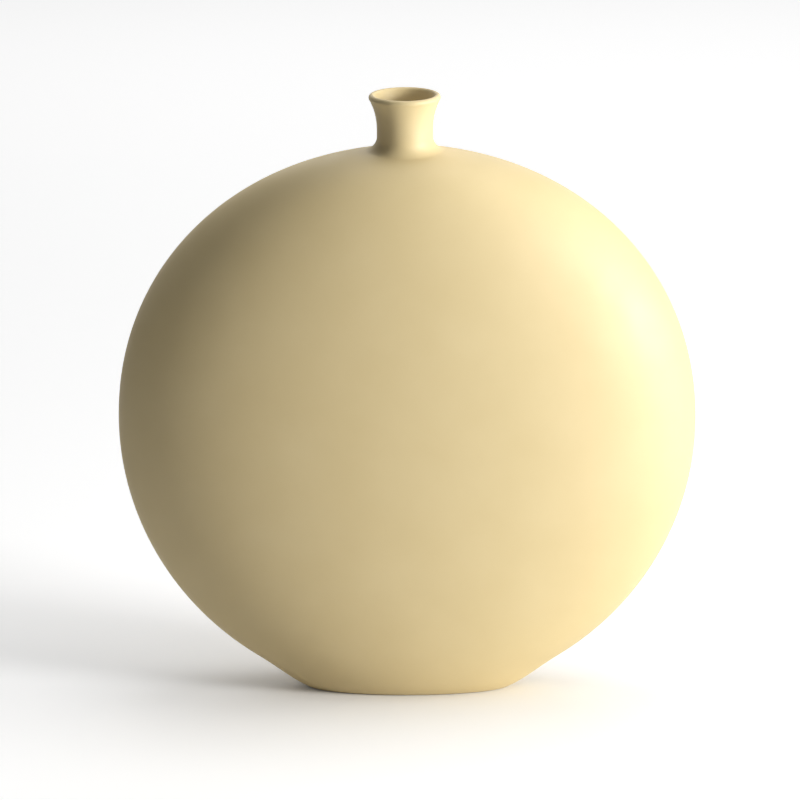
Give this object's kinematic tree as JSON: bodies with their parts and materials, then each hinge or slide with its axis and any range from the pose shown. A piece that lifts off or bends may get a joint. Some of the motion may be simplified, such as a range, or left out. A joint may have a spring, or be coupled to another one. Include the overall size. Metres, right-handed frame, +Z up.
{
  "type": "pillow vase",
  "caption": "Flattened round stoneware vase with a plump pillow body, a short flared neck and an oval foot, for cut or dried stems.",
  "frame": {"origin": "centre of the foot, on the plane that the vase stands on", "axes": "+Z up through the mouth, X across the broad faces, Y through the depth with the front face towards -Y"},
  "size_m": [0.288, 0.096, 0.305],
  "materials": {
    "glaze": "smooth matt butter-yellow glaze",
    "foot": "the same matt glaze on the side, bare buff clay underneath"
  },
  "bodies": {
    "root": {"front_half": "glaze", "back_half": "glaze", "seam_coil": "glaze", "neck": "glaze", "neck_coil": "glaze", "base": "foot"}
  },
  "joints": []
}
